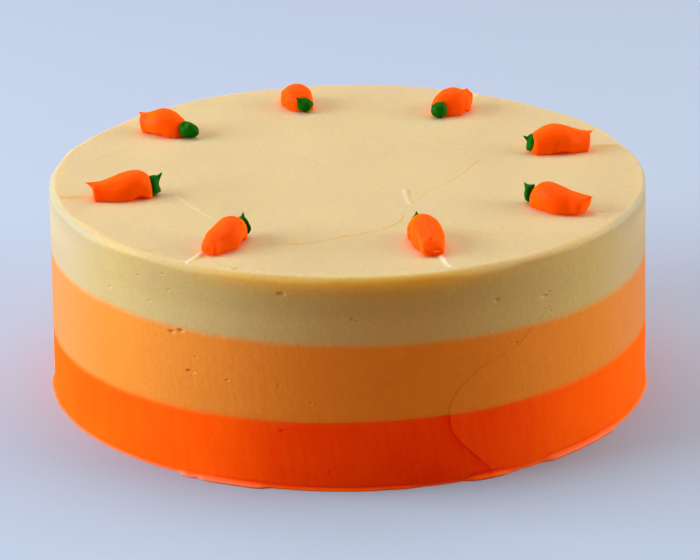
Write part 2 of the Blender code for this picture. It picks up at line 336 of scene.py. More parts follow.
def add_pits(points, relief, painted_shading):
    """Presses the air pits into the relief and paints shade in their hollows."""
    for x, y, z, width, depth in PITS:
        offset = points - (x, y, z)
        near = np.flatnonzero(np.abs(offset).max(1) < 2 * width)
        if len(near) == 0:
            continue
        offset = offset[near]
        along = (offset[:, 1] * x - offset[:, 0] * y) / max(math.hypot(x, y), MM)
        across = np.maximum((offset**2).sum(1) - along**2, 0)
        flatness, sunk = (SIDE_FLATNESS, SIDE_SUNK) if z < TOP else (TOP_FLATNESS, TOP_SUNK)
        spread = (along / (width / 2)) ** 2 + across / (width * flatness / 2) ** 2
        hollow = np.exp(-(spread**1.5))
        relief[near] -= sunk * depth * hollow
        # Painted shade in the pit's hollow.
        painted_shading[near] += PIT_PAINTED_SHADE * width / MM * hollow


STROKE_END = 0.12  # share of a stroke over which it fades in and out
SHELF_EDGE = 0.8 * MM  # over which the icing steps up at a stroke


def add_strokes(points, out, relief, painted_shading):
    """Raises the knife's lap lines and paints shade along grooves and highlight along raised lines."""
    for stroke, line in zip(STROKES, LINES):
        reach = max(3 * stroke.width, 2.5 * stroke.fade) * MM
        box = (points > line.min(0) - reach).all(1) & (points < line.max(0) + reach).all(1)
        near = np.flatnonzero(box)
        if len(near) == 0:
            continue
        offset = points[near][:, None, :] - line[None, :, :]
        distance = np.linalg.norm(offset, axis=2)
        closest = distance.argmin(1)
        away = distance[np.arange(len(near)), closest]
        run = np.gradient(line, axis=0)[closest]
        left = np.cross(out[near], run)
        side = (left * offset[np.arange(len(near)), closest]).sum(1)
        side = side / np.maximum(np.linalg.norm(left, axis=1), 1e-9)
        share = closest / (len(line) - 1)
        ends = smooth(share / STROKE_END) * smooth((1 - share) / STROKE_END)
        uneven = 1 + (stroke.ridge < 0) * 0.45 * np.clip(ripple(points[near], 5 * MM, 41), -1.6, 2)
        thread = bell(away / (stroke.width * MM)) * uneven
        shelf = stroke.step * np.exp(-away / (stroke.fade * MM)) * smooth(side / SHELF_EDGE + 0.5)
        relief[near] += (stroke.ridge * thread + shelf) * MM * ends
        # Painted shade along grooves; where tint is below 0, painted highlight along raised lines.
        painted_shading[near] += stroke.tint * thread * ends


# Painted shade: the side's colour is painted a little deeper in front, most of all up to the scraper's lap
# line.
SHADE_FROM, SHADE_TO, SHADE_SOFT = -108, -54, 22  # bearings in degrees
FRONT_SHADE, LAP_SHADE, LAP_EDGE_SHADE = 0.50, 0.18, 0.30
LAP_REACH, EDGE_REACH = 40, 1.2  # degrees
SHADE_ABOVE = 0.4  # how strong all that is in the pale band


def painted_side_shade(points):
    """How much painted shade deepens the side's colour: broadly in front, more so left of the scraper's lap.
    """
    bearing = bearings(points)
    lap = np.array(sorted(SCRAPER_LAP, key=lambda point: point[1]))
    before = np.interp(points[:, 2] / MM, lap[:, 1], lap[:, 0]) - bearing
    broad = smooth((bearing - SHADE_FROM) / SHADE_SOFT + 0.5)
    broad = broad * smooth((SHADE_TO - bearing) / SHADE_SOFT + 0.5)
    left = smooth(before / 0.4 + 0.5)
    fading = smooth(1.0 - before / LAP_REACH) * left
    edge = np.exp(-np.clip(before, 0, None) / EDGE_REACH) * left
    band = np.select([points[:, 2] <= LOWER_SEAM, points[:, 2] <= UPPER_SEAM], [1.0, SHADE_ABOVE], 0.0)
    return (FRONT_SHADE * broad + LAP_SHADE * fading + LAP_EDGE_SHADE * edge) * band


# Unevenness of all the icing, and more of the rim: depth and size in millimetres, and a seed.
SWELLS = ((0.16, 75, 1), (0.05, 22, 2))
RIM_SWELLS = ((0.22, 14, 4), (0.08, 5, 7))
EVEN_FOOT = 3 * MM  # height over which they grow from nothing at the foot


def swells(points, rows):
    """The unevenness that some rows add up to."""
    return sum(depth * MM * ripple(points, size * MM, seed) for depth, size, seed in rows)


def iced(points):
    """Where nominal points of the cake's outline really lie, and how much painted shade and painted highlight
    colour each.
    """
    out = outward(points)
    skin = (np.abs(out).sum(1) > 0).astype(float)
    side = skin * (np.abs(out[:, 2]) < 1e-6)
    rim = 2 * np.abs(out[:, 2]) * np.hypot(out[:, 0], out[:, 1])
    true = np.column_stack([points[:, :2], layer_height(points)])
    relief = swells(true, SWELLS) + rim * swells(true, RIM_SWELLS)
    painted_shading = side * painted_side_shade(points)
    add_pits(true, relief, painted_shading)
    add_strokes(true, out, relief, painted_shading)
    squeezed, painted_lip_light = lip(true)
    relief = relief * skin * smooth(true[:, 2] / EVEN_FOOT) + side * squeezed
    painted_shading = painted_shading + side * painted_lip_light
    return true + out * relief[:, None], np.clip(painted_shading, -1, 1)


def spaced(low, high, step):
    """Evenly spaced values from low to high, both included."""
    return list(np.linspace(low, high, max(2, round(abs(high - low) / step) + 1)))


def side_outline(low, high, step=STEP):
    """Outline points up the side."""
    return [(side_radius(height), height) for height in spaced(low, high, step)]


def cap_outline(height, outwards):
    """A hidden face's outline, dipping away from the neighbouring band inside its edge."""
    radii = [RIM_CENTRE - 1 * MM, RIM_CENTRE * 0.7, RIM_CENTRE * 0.35, 0.0]
    outline = [(radius, height) for radius in radii]
    return outline[::-1] if outwards else outline


def rim_outline():
    """The rounding from the side onto the top."""
    turns = np.linspace(0, math.pi / 2, max(3, round(RIM * math.pi / 2 / FINE_STEP)))[1:-1]
    return [(RIM_CENTRE + RIM * math.cos(turn), TOP - RIM + RIM * math.sin(turn)) for turn in turns]


def deck_outline():
    """The flat top, inwards."""
    return [(radius, TOP) for radius in spaced(RIM_CENTRE, 0.0, DECK_STEP)]


def worked_mesh(name, verts, faces, work):
    """A mesh of vertices and faces, after a function has worked on it as a BMesh."""
    mesh = bpy.data.meshes.new(name)
    mesh.from_pydata([tuple(vert) for vert in verts], [], faces)
    bm = bmesh.new()
    bm.from_mesh(mesh)
    work(bm)
    bm.to_mesh(mesh)
    bm.free()
    return mesh


def skin_mesh(name, rows, work):
    """A closed mesh over rows of points that go round, with a point in the middle of each end."""
    count, around = rows.shape[:2]
    verts = [rows[0].mean(0), *rows.reshape(-1, 3), rows[-1].mean(0)]
    here = np.arange(around)
    beside = (here + 1) % around
    faces = [(0, 1 + b, 1 + a) for a, b in zip(here, beside)]
    for row in range(count - 1):
        low, high = 1 + row * around, 1 + (row + 1) * around
        faces += np.column_stack([low + here, low + beside, high + beside, high + here]).tolist()
    last, pole = 1 + (count - 1) * around, len(verts) - 1
    faces += [(last + a, last + b, pole) for a, b in zip(here, beside)]
    return worked_mesh(name, verts, faces, work)


def turned(outline):
    """Rows of points of an outline turned about +Z, without its two ends, which lie on the axis."""
    turns = np.linspace(0, math.tau, SIDES, endpoint=False)
    rows = [
        np.column_stack([radius * np.cos(turns), radius * np.sin(turns), np.full(SIDES, height)])
        for radius, height in outline[1:-1]
    ]
    return np.array(rows)


def point_tree(places):
    """A tree that finds which of the places are near a point."""
    tree = KDTree(len(places))
    for number, place in enumerate(places):
        tree.insert(place, number)
    tree.balance()
    return tree


PIT_REFINED, STROKE_REFINED = 0.9, 1.3  # fine mesh round a mark, over the mark's width
SHORTEST_SPLIT = 0.3 * MM


def mark_reach():
    """A tree of the places where the mesh has to be fine, and how far round each."""
    spots = [(row[:3], PIT_REFINED * row[3]) for row in PITS]
    for stroke, line in zip(STROKES, LINES):
        spots += [(point, STROKE_REFINED * stroke.width * MM) for point in line]
    return point_tree([place for place, _ in spots]), [reach for _, reach in spots]


def refine(bm, tree, reaches):
    """Splits the faces round the marks into finer ones, twice."""
    widest = max(reaches)
    for number in range(2):
        chosen = set()
        margin = STEP / 2 ** (number + 0.5)
        for vert in bm.verts:
            found = tree.find_range(vert.co, widest + margin)
            if any(distance < reaches[spot] + margin for _, spot, distance in found):
                chosen.update(edge for edge in vert.link_edges if edge.calc_length() > SHORTEST_SPLIT)
        bmesh.ops.subdivide_edges(bm, edges=list(chosen), cuts=1, use_grid_fill=True)


def add_object(name, data):
    """An object in the scene."""
    thing = bpy.data.objects.new(name, data)
    bpy.context.scene.collection.objects.link(thing)
    return thing


def set_attribute(mesh, name, values):
    """Gives each vertex of a mesh a value."""
    mesh.attributes.new(name, "FLOAT", "POINT").data.foreach_set("value", values)


def add_piece(name, mesh, material, slot, *nodes):
    """Makes an object of a mesh, in the frame, standing for CAD nodes."""
    mesh.shade_smooth()
    mesh.materials.append(material)
    piece = add_object(name, mesh)
    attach(piece, "root")
    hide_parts(*nodes)


def add_band(name, outline, material, tree, reaches):
    """One band of icing, from its outline."""
    icing = f"{name}_icing"
    mesh = skin_mesh(icing, turned(outline), lambda bm: refine(bm, tree, reaches))
    flat = np.empty(len(mesh.vertices) * 3)
    mesh.vertices.foreach_get("co", flat)
    nominal = flat.reshape(-1, 3)
    places, painted_shading = iced(nominal)
    mesh.vertices.foreach_set("co", places.ravel())
    set_attribute(mesh, "level", nominal[:, 2])
    set_attribute(mesh, "painted_shading", painted_shading)
    mesh.update()
    add_piece(icing, mesh, material, icing, f"{name}_band")
    mesh.set_sharp_from_angle(angle=SHARP_EDGE)


def add_cake(materials):
    """The three bands of icing, which meet in the same wavering seams."""
    tree, reaches = mark_reach()
    deep = cap_outline(0.0, True) + side_outline(0.0, FOOT_TOP, FOOT_STEP)
    deep += side_outline(FOOT_TOP, LOWER_SEAM)[1:] + cap_outline(LOWER_SEAM - CAP_DIP, False)
    pale = cap_outline(LOWER_SEAM + CAP_DIP, True) + side_outline(LOWER_SEAM, UPPER_SEAM)
    pale += cap_outline(UPPER_SEAM - CAP_DIP, False)
    cream = cap_outline(UPPER_SEAM + CAP_DIP, True) + side_outline(UPPER_SEAM, TOP - RIM)
    cream += rim_outline() + deck_outline()
    for name, outline in (("deep", deep), ("pale", pale), ("cream", cream)):
        add_band(name, outline, materials[name], tree, reaches)


# What all the piped carrots share.
WIDEST = 0.5  # where the rope is widest, over its length
ROUNDED = 0.10  # rounded stretch at the green end, over the length
FOOT_CURVE, FOOT_SQUARE = 0.45, 0.5  # below 1 they flatten the underside and square its sides
SINK = 0.9 * MM  # how far a carrot settles into the top
BODY_RINGS, END_RINGS, AROUND = 84, 44, 80
LAP_FADE = 25  # degrees round the rope over which a lap fades at its ends
SOFTENED = 26  # passes that ease the rows into each other

# One carrot's rope: heading off its bearing round the cake, sizes in millimetres, the rest are
# shares of its length, width or height: the start is the green end. At the outer end the rope
# rounds off over blunt, its foot falls back by slant and its face sinks in by hollow. The spike
# there is tail long and taper wide, climbs by rise degrees and stands at a share of the end's
# height, aside of the middle.
Root = namedtuple(
    "Root",
    "bearing heading length width height start_height start_width crest end_height end_width sway"
    " blunt slant hollow tail taper rise perch aside laps dents",
)
# Where the rope laps over an earlier squeeze: at a share of the length at half height, leaning
# towards the tail by lean millimetres a millimetre up, cut in by depth on the sides from low to
# high, in degrees round the rope from its left (0) over its top (90) to its right (180).
Lap = namedtuple("Lap", "at lean depth width low high")
# A soft hollow, or a bulge where its depth is negative: place along, degrees round, depth, and
# half sizes along and round the rope in millimetres.
Dent = namedtuple("Dent", "along round depth length width")
ROOTS = (
    Root(197, -7.5, 21.5, 11.4, 10.6, 0.68, 0.66, 0.28, 0.64, 0.66, 0.5,
         1.8, 0.0, 0.2, 3.0, 0.7, 24, 0.90, 0.0, (),
         (Dent(0.25, -42, 2.3, 2.2, 2.2), Dent(0.30, 30, -0.3, 4.0, 3.0), Dent(0.62, 35, 0.3, 4.0, 2.0))),
    Root(145, 7.5, 18.0, 10.6, 10.3, 0.60, 0.60, 0.48, 0.72, 0.62, 0.2,
         2.2, 0.7, 0.2, 2.6, 0.65, 24, 0.90, 0.0,
         (Lap(0.37, -0.15, 0.6, 0.8, -85, 0),),
         (Dent(0.60, -50, 1.2, 4.2, 2.2), Dent(0.18, -20, -0.3, 2.5, 2.5))),
    Root(104, 4.0, 17.0, 11.6, 10.0, 0.60, 0.44, 0.40, 0.62, 0.66, 1.4,
         2.6, 0.6, 0.2, 0.6, 0.8, 40, 0.8, 0.6,
         (Lap(0.36, -0.2, 0.8, 0.9, -80, 40),),
         (Dent(0.46, -42, 1.4, 2.0, 2.2), Dent(0.15, 200, -0.4, 2.5, 2.5))),
    Root(61, -0.5, 18.0, 12.3, 10.4, 0.66, 0.50, 0.40, 0.70, 0.74, -2.6,
         2.0, 0.3, 0.2, 1.3, 0.6, 70, 0.92, -3.4,
         (Lap(0.42, 0.2, 0.8, 0.9, 130, 260),),
         (Dent(0.50, 215, 1.4, 1.8, 2.0),)),
    Root(16, -4.0, 22.4, 11.4, 11.0, 0.64, 0.64, 0.42, 0.68, 0.66, -0.4,
         1.8, 0.4, 0.2, 2.2, 0.55, 22, 0.90, 0.0,
         (Lap(0.40, 0.35, 0.65, 0.9, 155, 260),),
         (Dent(0.50, 222, 2.1, 2.6, 1.9), Dent(0.64, 190, -0.5, 5.0, 2.2), Dent(0.52, 165, 0.35, 1.6, 2.5))),
    Root(-29.5, -2.0, 22.2, 10.8, 10.0, 0.56, 0.60, 0.30, 0.74, 0.74, -1.6,
         3.6, 0.6, 0.0, 2.4, 0.65, 20, 0.88, 0.0,
         (Lap(0.19, 0.1, 0.12, 0.35, 90, 200), Lap(0.25, 0.1, 0.10, 0.35, 90, 200)),
         (Dent(0.65, 212, -0.4, 4.0, 2.0), Dent(0.42, 215, 0.3, 2.5, 2.0))),
    Root(-71, -8.0, 24.2, 11.8, 10.2, 0.78, 0.50, 0.36, 0.54, 0.60, -0.2,
         5.0, 0.5, 0.4, 0.0, 0.8, 10, 0.50, 0.7,
         (Lap(0.36, 0.2, 0.9, 0.9, 145, 260),),
         (Dent(0.32, 212, 1.6, 1.8, 2.2), Dent(0.60, 80, 0.30, 7.0, 0.6), Dent(0.56, 104, 0.25, 5.0, 0.6),
          Dent(0.85, 98, 0.9, 0.55, 0.5), Dent(0.95, 115, 0.7, 1.6, 1.8),
          Dent(0.66, 190, 1.4, 4.8, 3.4), Dent(0.16, 190, -0.7, 3.4, 3.2), Dent(0.93, 5, 0.9, 2.4, 2.8))),
    Root(-119, -2.5, 21.0, 10.6, 10.4, 0.66, 0.54, 0.36, 0.54, 0.46, 0.4,
         3.2, 0.0, 0.0, 0.6, 0.7, 10, 0.55, -0.2, (),
         (Dent(0.27, -42, 2.8, 3.0, 2.6), Dent(0.80, 150, -1.1, 3.4, 3.0))),
)
LUMP = 0.10 * MM  # the hand-piped unevenness of carrots and tufts

# One green tuft, in its carrot's own axes: its middle lies back from the green end, to one side and
# up. Half sizes follow, then its pulled peaks as (sweep, climb, pull, spread): degrees round from
# the tail's side and up, millimetres and radians. A pull below 0 pinches.
Tuft = namedtuple("Tuft", "back side lift thick wide tall peaks")
TUFTS = (
    Tuft(-0.2, 0.0, 4.6, 2.1, 3.1, 3.4,
         ((181, 52, 3.4, 0.20), (182, -40, 1.5, 0.45), (180, 8, -0.6, 0.30), (20, 60, 0.5, 0.3))),
    Tuft(1.4, 0.6, 3.6, 4.0, 3.0, 2.9,
         ((30, 68, 1.0, 0.25), (178, -12, 1.0, 0.45), (140, 48, 0.9, 0.25), (80, 52, -0.5, 0.28))),
    Tuft(0.3, 0.6, 3.8, 2.6, 2.8, 2.7,
         ((98, 46, 2.6, 0.20), (206, 50, 0.9, 0.30), (250, 5, 0.6, 0.30), (150, 62, -0.4, 0.25))),
    Tuft(0.7, -1.4, 3.9, 2.8, 3.0, 3.0, ((112, 34, 0.6, 0.16), (-20, 50, 0.8, 0.3), (200, 62, -0.3, 0.4))),
    Tuft(-0.9, 0.0, 4.4, 1.7, 3.0, 3.0,
         ((182, 44, 2.8, 0.18), (0, 66, 0.8, 0.25), (186, -52, 1.0, 0.35), (182, -2, -0.5, 0.30))),
    Tuft(0.7, 0.0, 4.2, 1.6, 2.8, 2.9,
         ((194, 62, 2.4, 0.17), (14, 66, 1.8, 0.20), (192, -56, 0.9, 0.35), (195, 2, -0.4, 0.35))),
    Tuft(0.2, -0.7, 3.9, 1.7, 2.8, 3.0, ((190, 76, 2.2, 0.20), (24, 50, 1.0, 0.30), (100, 0, 0.4, 0.4))),
    Tuft(0.9, -0.2, 4.4, 0.9, 3.3, 3.2, ((168, 82, 2.2, 0.16), (112, -28, 0.8, 0.25), (180, 10, -0.2, 0.4))),
)
TUFT_RINGS, TUFT_AROUND = 52, 64
WELD_REACH = 0.002 * MM


def bent_line(knots, shares):
    """Points at shares from 0 to 1 of a smooth line through knots."""
    knots = np.array(knots)
    knots = np.vstack([2 * knots[0] - knots[1], knots, 2 * knots[-1] - knots[-2]])
    place = np.clip(shares, 0, 1) * (len(knots) - 3)
    first = np.minimum(place.astype(int), len(knots) - 4)
    return smooth_line(*(knots[first + step] for step in range(4)), (place - first)[:, None])


def rope_top(root, along):
    """The height of the rope's top at shares of its length."""
    climb = mix(root.start_height, 1.0, np.sin(math.pi / 2 * np.clip(along / root.crest, 0, 1)))
    fall = mix(1.0, root.end_height, smooth((along - root.crest) / (1 - root.crest)))
    return root.height * MM * np.where(along < root.crest, climb, fall)


def rope_sections(root):
    """Sections from the green end to the spike's foot: lowest x and z, highest x and z, half width, sway.

    A body section stands upright. At the outer end the sections turn over about the spike's foot, so
    that the rope rounds off there.
    """
    height, length = root.height * MM, root.length * MM
    blunt, slant = root.blunt * MM, root.slant * MM
    begins = length - slant - blunt
    along = np.linspace(0, 1, BODY_RINGS) ** 1.1 * begins / length
    swell = mix(root.start_width, 1.0, np.sin(math.pi / 2 * np.clip(along / WIDEST, 0, 1)))
    narrow = mix(1.0, root.end_width, smooth((along - WIDEST) / (1 - WIDEST)))
    opening = np.sqrt(1 - (1 - np.clip(along / ROUNDED, 0, 1)) ** 2)
    middle = height * root.start_height / 2
    low = np.column_stack([length * along, middle * (1 - opening)])
    high = np.column_stack([length * along, mix(middle, rope_top(root, along), opening)])
    wide = root.width * MM / 2 * np.where(along < WIDEST, swell, narrow) * opening
    sway = 4 * root.sway * MM * along * (1 - along)
    share = np.linspace(0, 1, END_RINGS + 1)[1:]
    end = height * root.end_height
    perch = root.perch * end
    over_top = rope_top(root, along[-1:])[0]
    under = [(begins, 0.0), (begins + 0.7 * blunt, 0.25 * blunt), (length - 0.8 * slant, 0.48 * perch),
             (length - 0.3 * slant, 0.8 * perch), (length, perch)]
    over = [(begins, over_top), (mix(begins, length, 0.5), mix(over_top, 1.01 * end, 0.7)),
            (mix(begins, length, 0.9), mix(perch, end, 0.55)), (length, perch)]
    narrowed = wide[-1] * (1 - share**2.2) ** 0.62
    lean = mix(sway[-1], root.aside * MM, share**1.5)
    rows = np.vstack([
        np.column_stack([low, high, wide, sway]),
        np.column_stack([bent_line(under, share), bent_line(over, share**0.8), narrowed, lean]),
    ])
    for _ in range(SOFTENED):
        rows[BODY_RINGS // 2 : -1] = (
            rows[BODY_RINGS // 2 - 1 : -2] + 2 * rows[BODY_RINGS // 2 : -1] + rows[BODY_RINGS // 2 + 1 :]
        ) / 4
    return rows


def lap_cut(root, lap, turn, x, z):
    """How far a lap cuts in at each point."""
    degrees = (np.degrees(turn) - lap.low) % 360
    window = smooth(degrees / LAP_FADE) * smooth((lap.high - lap.low - degrees) / LAP_FADE)
    offset = x - lap.at * root.length * MM - lap.lean * (z - root.height * MM / 2)
    offset = offset / (lap.width * MM)
    groove = np.where(offset < 0, bell(2 * offset), np.exp(-np.abs(offset)))
    return lap.depth * MM * window * groove


def dent_cut(root, dent, turn, x, girth):
    """How far a dent sinks in at each point."""
    along = x - dent.along * root.length * MM
    apart = np.radians((np.degrees(turn) - dent.round + 180) % 360 - 180) * girth
    spread = (along / (dent.length * MM)) ** 2 + (apart / (dent.width * MM)) ** 2
    return dent.depth * MM * np.exp(-(spread**1.3))


def rope_points(root):
    """A carrot's surface in its own axes: +X to the tail, +Z up, one row for each section."""
    rows = rope_sections(root)
    low, high, half, sway = rows[:, 0:2], rows[:, 2:4], rows[:, 4:5], rows[:, 5:6]
    turn = np.linspace(0, math.tau, AROUND, endpoint=False)[None, :]
    rise = np.sin(turn)
    rise = np.where(rise < 0, -np.abs(rise) ** FOOT_CURVE, rise)
    middle, reach = (low + high) / 2, (high - low) / 2
    x = middle[:, :1] + reach[:, :1] * rise
    z = middle[:, 1:] + reach[:, 1:] * rise
    across = np.cos(turn)
    across = np.where(rise < 0, np.sign(across) * np.abs(across) ** FOOT_SQUARE, across)
    y = sway + half * across
    girth = (half + reach[:, 1:]) / 2
    laps = sum(lap_cut(root, lap, turn, x, z) for lap in root.laps)
    dents = sum(dent_cut(root, dent, turn, x, girth) for dent in root.dents)
    seed = 100 + round(root.bearing) % 360
    flat = np.stack([x, y, z], 2).reshape(-1, 3)
    lumps = ripple(flat, 6 * MM, seed) + 0.4 * ripple(flat, 2.5 * MM, seed + 1)
    push = (LUMP * lumps.reshape(x.shape) - laps - dents) * np.clip(half / (2 * MM), 0, 1)
    y = y + push * np.cos(turn)
    z = z + push * np.sin(turn)
    length, end = root.length * MM, root.height * root.end_height * MM
    near = smooth((x - length) / (root.blunt * MM) + 1.0 + root.slant / root.blunt)
    face = np.exp(-((y - sway) / (0.3 * root.width * MM)) ** 2 - ((z - 0.45 * end) / (0.3 * end)) ** 2)
    x = x - root.hollow * MM * near * face
    points = np.stack([x, y, z], 2)
    apart = np.linalg.norm(points - (length, root.aside * MM, root.perch * end), axis=2)
    pull = root.tail * MM * np.exp(-apart / (root.taper * MM))
    points = points + pull[:, :, None] * direction(0, root.rise)
    points[:, :, 2] = np.maximum(points[:, :, 2], 0)
    return points


def weld(bm):
    """Merges the points that meet at the ends, and turns the faces outwards."""
    bmesh.ops.remove_doubles(bm, verts=bm.verts, dist=WELD_REACH)
    bmesh.ops.recalc_face_normals(bm, faces=bm.faces)


def carrot_place(root, node, points):
    """The matrix that puts a carrot's own axes where its CAD rope lies."""
    low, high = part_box(node)
    turn = Matrix.Rotation(math.radians(root.bearing + root.heading), 4, "Z")
    spun = points.reshape(-1, 3) @ np.array(turn.to_3x3()).T
    middle = (spun.min(0) + spun.max(0)) / 2
    x, y = (low.x + high.x) / 2 - middle[0], (low.y + high.y) / 2 - middle[1]
    return Matrix.Translation((x, y, TOP - SINK)) @ turn


def direction(sweep, climb):
    """The unit vector at a sweep round +Z and a climb above the flat, in degrees."""
    turn, rise = math.radians(sweep), math.radians(climb)
    return np.array((math.cos(rise) * math.cos(turn), math.cos(rise) * math.sin(turn), math.sin(rise)))


def tuft_points(tuft):
    """A tuft's surface in its carrot's axes, in rows from its main peak to the far side."""
    polar = (np.linspace(0, 1, TUFT_RINGS + 2)[1:-1, None] ** 1.2) * math.pi
    turn = np.linspace(0, math.tau, TUFT_AROUND, endpoint=False)[None, :]
    rays = np.stack([np.sin(polar) * np.cos(turn), np.sin(polar) * np.sin(turn), np.cos(polar) + 0 * turn], 2)
    lean = Vector((0, 0, 1)).rotation_difference(Vector(direction(*tuft.peaks[0][:2])))
    rays = rays @ np.array(lean.to_matrix()).T
    reach = 1 / np.linalg.norm(rays / (tuft.thick, tuft.wide, tuft.tall), axis=2)
    for sweep, climb, pull, spread in tuft.peaks:
        angle = np.arccos(np.clip(rays @ direction(sweep, climb), -1, 1))
        reach = reach + pull * np.exp(-angle / spread if pull > 0 else -((angle / spread) ** 2))
    points = (rays * reach[:, :, None] + (-tuft.back, tuft.side, tuft.lift)) * MM
    lumps = ripple(points.reshape(-1, 3), 1.6 * MM, 200 + round(10 * tuft.lift)).reshape(reach.shape)
    points = points + 1.2 * LUMP * lumps[:, :, None] * rays
    points[:, :, 2] = np.maximum(points[:, :, 2], 0)
    return points


def add_carrots(materials):
    """The eight carrots, each a rope and a tuft."""
    for number, (root, tuft) in enumerate(zip(ROOTS, TUFTS), start=1):
        node = f"carrot_root_{number}"
        rope = rope_points(root)
        place = carrot_place(root, node, rope)
        for part, points, kind, stands_for in (
            ("rope", rope, "carrot", node),
            ("leaf", tuft_points(tuft), "leaf", f"carrot_tuft_{number}"),
        ):
            mesh = skin_mesh(f"carrot_{part}_{number}", points, weld)
            mesh.transform(place)
            add_piece(f"carrot_{part}_{number}", mesh, materials[kind], f"{kind}_icing", stands_for)


def add_painted_carrot_glow():
    """Paints a reddish glow of the carrots' light on the cream icing, by how close the carrots are."""
    mesh = bpy.data.objects["cream_icing"].data
    feet = [
        vert.co.copy()
        for number in range(1, len(ROOTS) + 1)
        for vert in bpy.data.objects[f"carrot_rope_{number}"].data.vertices
        if abs(vert.co.z - TOP) < CARROT_GLOW_FOOT
    ]
    tree = point_tree(feet)
    painted_carrot_glow = [
        CARROT_GLOW * math.exp(-tree.find(vert.co)[2] / CARROT_GLOW_REACH) if vert.co.z > TOP - RIM else 0.0
        for vert in mesh.vertices
    ]
    set_attribute(mesh, "painted_carrot_glow", painted_carrot_glow)


COLOR, NUMBER = "NodeSocketColor", "NodeSocketFloat"


def new_group(name, inputs, outputs):
    """A shader node group with named sockets; returns it, the values it is given and its last node."""
    group = bpy.data.node_groups.new(name, "ShaderNodeTree")
    for way, sockets in (("INPUT", inputs), ("OUTPUT", outputs)):
        for label, kind in sockets.items():
            group.interface.new_socket(label, in_out=way, socket_type=kind)
    return group, group.nodes.new("NodeGroupInput").outputs, group.nodes.new("NodeGroupOutput")


def feed(node, values):
    """Gives a node's inputs, by name or number, their values: sockets are linked, others set."""
    for label, value in values.items():
        socket = node.inputs[label]
        if isinstance(value, bpy.types.NodeSocket):
            node.id_data.links.new(value, socket)
        else:
            socket.default_value = (*value, 1.0) if socket.type == "RGBA" else value


def math_node(tree, operation, first, second):
    """A Math node with a socket or a number on each side; returns its result."""
    node = tree.nodes.new("ShaderNodeMath")
    node.operation = operation
    feed(node, {0: first, 1: second})
    return node.outputs[0]


def times(tree, first, second):
    """Two values multiplied."""
    return math_node(tree, "MULTIPLY", first, second)


def plus(tree, first, second):
    """Two values added."""
    return math_node(tree, "ADD", first, second)


def noise_node(tree, vector, size, detail=3.0, roughness=0.5):
    """Noise with features of a size in metres; returns its factor."""
    node = tree.nodes.new("ShaderNodeTexNoise")
    feed(node, {"Vector": vector, "Scale": 1.0 / size, "Detail": detail, "Roughness": roughness})
    return node.outputs["Fac"]


def place_node(tree):
    """The place on the piece, in metres."""
    return tree.nodes.new("ShaderNodeTexCoord").outputs["Object"]


def attribute_node(tree, name):
    """A value that the mesh carries."""
    node = tree.nodes.new("ShaderNodeAttribute")
    node.attribute_name = name
    return node.outputs["Fac"]


def ramp_node(tree, value, low, high, start=0.0, end=1.0, kind="SMOOTHSTEP"):
    """Eases from start to end as a value goes from low to high."""
    node = tree.nodes.new("ShaderNodeMapRange")
    node.interpolation_type = kind
    feed(node, {"Value": value, "From Min": low, "From Max": high, "To Min": start, "To Max": end})
    return node.outputs["Result"]


def mix_node(tree, factor, first, second):
    """Blends two colours, each a socket or three numbers."""
    node = tree.nodes.new("ShaderNodeMix")
    node.data_type = "RGBA"
    feed(node, {"Factor": factor, "A": first, "B": second})
    return node.outputs["Result"]


def place_parts(tree):
    """The place's X, Y and Z, by name."""
    parts = tree.nodes.new("ShaderNodeSeparateXYZ")
    feed(parts, {0: place_node(tree)})
    return parts.outputs


STREAK_SLANT, STREAK_SQUEEZE, STREAK_GAP = 0.15, 0.14, 2.2 * MM
STREAKS_TO = TOP - 2.5 * RIM  # the height from which the chatter fades out upwards


def drawn_place(tree):
    """The place on the cake's side with heights squeezed, so that noise comes out upright and long."""
    parts = place_parts(tree)
    round_side = times(tree, math_node(tree, "ARCTAN2", parts["Y"], parts["X"]), LOWER_RADIUS)
    drawn = tree.nodes.new("ShaderNodeCombineXYZ")
    slant, squeezed = (times(tree, parts["Z"], share) for share in (STREAK_SLANT, STREAK_SQUEEZE))
    feed(drawn, {"X": plus(tree, round_side, slant), "Y": squeezed})
    return drawn.outputs[0]


def streak_value(tree):
    """The upright chatter of the scraper round the side, about 0, and none on top."""
    streak = noise_node(tree, drawn_place(tree), STREAK_GAP, roughness=0.6)
    level = attribute_node(tree, "level")
    side = ramp_node(tree, level, STREAKS_TO, TOP - RIM, 1.0, 0.0)
    return times(tree, math_node(tree, "SUBTRACT", streak, 0.5), side)


BROAD_DRIFT, FINE_SPECK, GRAIN, BUBBLE_GAP = 35 * MM, 1.2 * MM, 1.8 * MM, 5 * MM


def tone_group():
    """Colour that drifts a little, as whipped buttercream's does, and a roughness to go with it."""
    numbers = dict.fromkeys(("Drift", "Mottle", "Warmth", "Streaks", "Gloss"), NUMBER)
    group, given, made = new_group(
        "buttercream_tone", {"Color": COLOR, **numbers}, {"Color": COLOR, "Roughness": NUMBER}
    )
    place = place_node(group)
    broad = noise_node(group, place, BROAD_DRIFT)
    fine = noise_node(group, place, FINE_SPECK, roughness=0.65)
    swing = times(group, math_node(group, "SUBTRACT", broad, 0.5), given["Drift"])
    speck = times(group, math_node(group, "SUBTRACT", fine, 0.5), given["Mottle"])
    swing = plus(group, swing, times(group, streak_value(group), given["Streaks"]))
    shade = group.nodes.new("ShaderNodeHueSaturation")
    turn = times(group, swing, given["Warmth"])
    swing = plus(group, swing, speck)
    feed(shade, {"Color": given["Color"], "Hue": plus(group, turn, 0.5), "Value": plus(group, swing, 1.0)})
    feed(made, {"Color": shade.outputs["Color"], "Roughness": plus(group, given["Gloss"], swing)})
    return group


